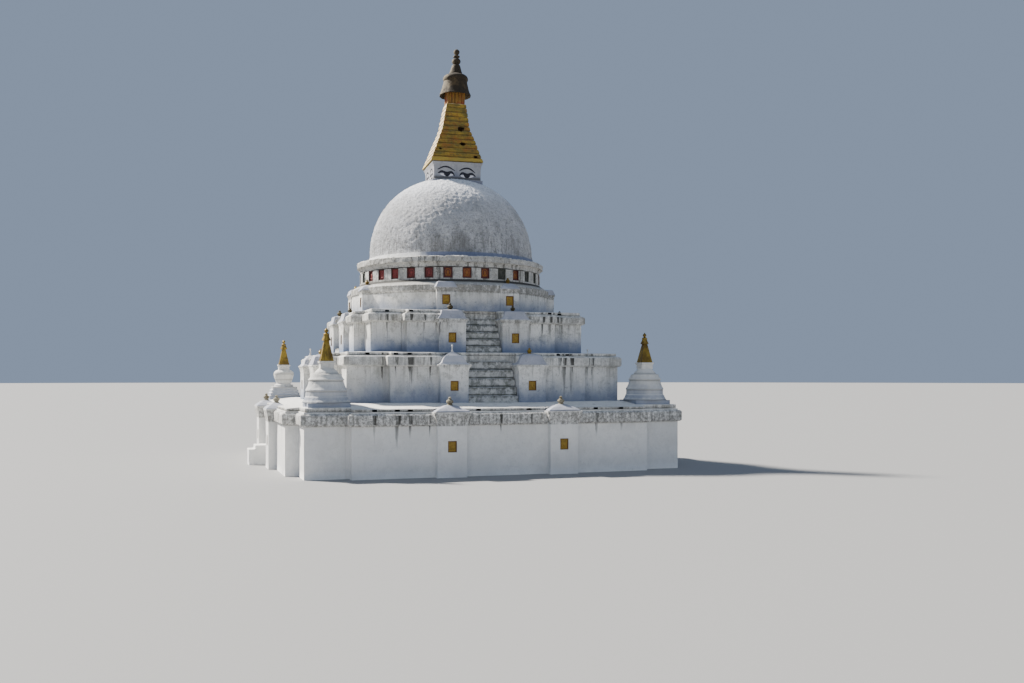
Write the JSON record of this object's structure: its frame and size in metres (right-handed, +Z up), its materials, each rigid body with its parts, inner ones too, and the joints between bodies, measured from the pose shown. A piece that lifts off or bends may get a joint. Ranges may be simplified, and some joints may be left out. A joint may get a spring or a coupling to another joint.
{
  "type": "himalayan stupa",
  "caption": "Whitewashed Himalayan stupa: stepped plinth and terraces with shrines and stairs, niched drum, dome, square harmika with painted eyes, gold stepped spire and umbrella.",
  "frame": {"origin": "centre of the stupa's square plan at ground level, on the axis of the drum and dome", "axes": "+Z up along the stupa's axis, the front with the two stairs that the picture shows faces -Y, +X to the right seen from the front"},
  "size_m": [20.7091, 20.1182, 22.24],
  "materials": {
    "whitewash": "weathered lime wash on rough plaster, with grey and dark rain streaks",
    "stair_stone": "bare weathered stone with worn lime wash and moss",
    "gold_paint": "yellow-ochre gold paint on plastered brick rings",
    "gilded_metal": "gilded sheet metal, dulled",
    "red_board": "orange-red painted boards",
    "bronze_sheet": "tarnished gilt copper sheet"
  },
  "bodies": {
    "root": {"plinth_core": "whitewash", "plinth_bay_front": "whitewash", "plinth_bay_right": "whitewash", "plinth_bay_back": "whitewash", "plinth_bay_left": "whitewash", "left_foot_step": "whitewash", "plinth_coping": "whitewash", "terrace_1_core": "whitewash", "terrace_1_bay_front": "whitewash", "terrace_1_bay_right": "whitewash", "terrace_1_bay_back": "whitewash", "terrace_1_bay_left": "whitewash", "terrace_1_coping": "whitewash", "terrace_1_stair_front": "stair_stone", "terrace_1_stair_right": "stair_stone", "terrace_1_stair_back": "stair_stone", "terrace_1_stair_left": "stair_stone", "terrace_2_core": "whitewash", "terrace_2_bay_front": "whitewash", "terrace_2_bay_right": "whitewash", "terrace_2_bay_back": "whitewash", "terrace_2_bay_left": "whitewash", "terrace_2_coping": "whitewash", "terrace_2_stair_front": "stair_stone", "terrace_2_stair_right": "stair_stone", "terrace_2_stair_back": "stair_stone", "terrace_2_stair_left": "stair_stone", "terrace_3": "whitewash", "drum_core": "whitewash", "drum_niche_wall_front": "whitewash", "drum_niche_wall_right": "whitewash", "drum_niche_wall_back": "whitewash", "drum_niche_wall_left": "whitewash", "drum_cornice": "whitewash", "dome": "whitewash", "harmika": "whitewash", "spire": "gold_paint", "spire_neck": "red_board", "umbrella": "bronze_sheet", "finial": "bronze_sheet", "corner_chorten_front_left": "whitewash", "corner_chorten_front_right": "whitewash", "corner_chorten_back_right": "whitewash", "corner_chorten_back_left": "whitewash", "corner_chorten_spire_front_left": "gilded_metal", "corner_chorten_spire_front_right": "gilded_metal", "corner_chorten_spire_back_right": "gilded_metal", "corner_chorten_spire_back_left": "gilded_metal"}
  },
  "joints": []
}
